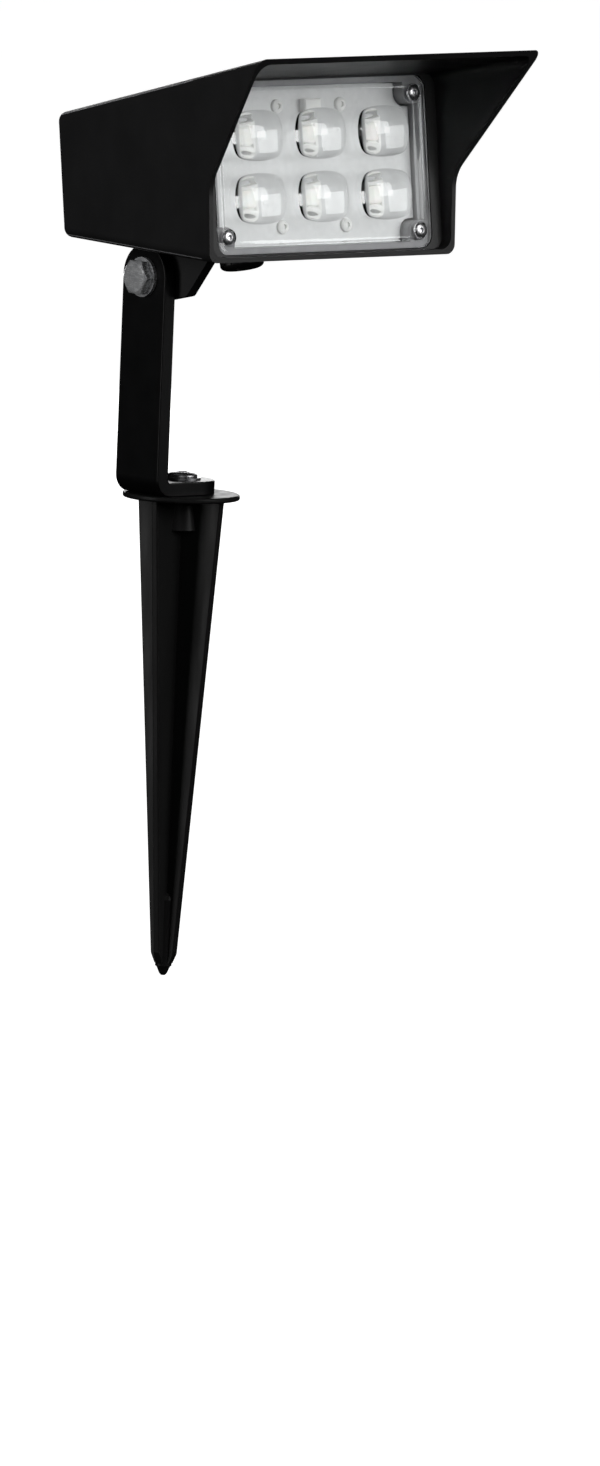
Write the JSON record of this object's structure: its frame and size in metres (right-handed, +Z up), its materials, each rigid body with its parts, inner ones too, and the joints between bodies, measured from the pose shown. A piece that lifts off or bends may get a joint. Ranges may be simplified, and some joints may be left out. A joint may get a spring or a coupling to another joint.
{
  "type": "garden spike spotlight",
  "caption": "Hooded rectangular garden spotlight with a clear multi-lens plate, tilting on a flat strap bracket that swivels on a tapered cross-fin ground spike.",
  "frame": {"origin": "centre of the spike flange's underside, at ground level, on the spike's axis", "axes": "+Z up along the spike, the lit face looks towards -Y, the strap bracket stands on the -X side"},
  "size_m": [0.1452, 0.1649, 0.3816],
  "materials": {
    "spike_plastic": "moulded, satin black",
    "brass": "turned, knurled",
    "black_zinc": "black zinc plate, glossy",
    "bracket_paint": "black powder coat",
    "zinc": "bright zinc plate",
    "nylon_black": "moulded",
    "housing_paint": "satin black powder coat on an aluminium die casting",
    "silicone_grey": "moulded",
    "clear_lens": "clear moulded acrylic",
    "bare_aluminium": "milled",
    "steel_screw": "bright zinc plate",
    "rubber_black": "moulded",
    "thermal_pad": "soft sheet",
    "board_white": "white solder mask",
    "led_phosphor": "yellow phosphor in a white package",
    "connector_white": "moulded",
    "lead_sheath": "extruded sheath",
    "board_green": "green solder mask",
    "ferrite_winding": "ferrite and taped winding",
    "capacitor_sleeve": "shrunk sleeve",
    "copper_wire": "enamelled copper",
    "terminal_plastic": "moulded",
    "gland_nylon": "moulded nylon"
  },
  "bodies": {
    "spike": {"ground_spike": "spike_plastic", "spike_insert": "brass", "foot_washer": "black_zinc", "foot_screw": "black_zinc"},
    "arm": {"arm_bracket": "bracket_paint", "pivot_bolt": "zinc", "pivot_washer": "zinc", "pivot_friction_washer": "nylon_black", "pivot_spring_washer": "zinc", "pivot_nut": "zinc"},
    "head": {"head_housing": "housing_paint", "lens_gasket": "silicone_grey", "lens_plate": "clear_lens", "lens_screws": "steel_screw", "heat_plate": "bare_aluminium", "heat_plate_screws": "steel_screw", "lead_grommet": "rubber_black", "thermal_pad": "thermal_pad", "led_board": "board_white", "board_screws": "connector_white", "led_emitters": "led_phosphor", "led_connector": "connector_white", "led_leads": "lead_sheath", "driver_board": "board_green", "driver_screws": "steel_screw", "driver_transformer": "ferrite_winding", "driver_capacitors": "capacitor_sleeve", "driver_choke": "copper_wire", "terminal_block": "terminal_plastic", "output_header": "connector_white", "gland_body": "gland_nylon", "gland_seal": "rubber_black", "gland_cap": "gland_nylon", "gland_o_ring": "rubber_black", "gland_locknut": "gland_nylon"}
  },
  "joints": [
    {"name": "bracket_swivel", "type": "hinge", "parent": "spike", "child": "arm", "pos_m": [0, 0, 0.0078], "axis": [0, 0, 1], "continuous": true},
    {"name": "head_tilt", "type": "hinge", "parent": "arm", "child": "head", "pos_m": [0, 0, 0.0896], "axis": [-1, 0, 0], "range_deg": [-60, 85]}
  ]
}
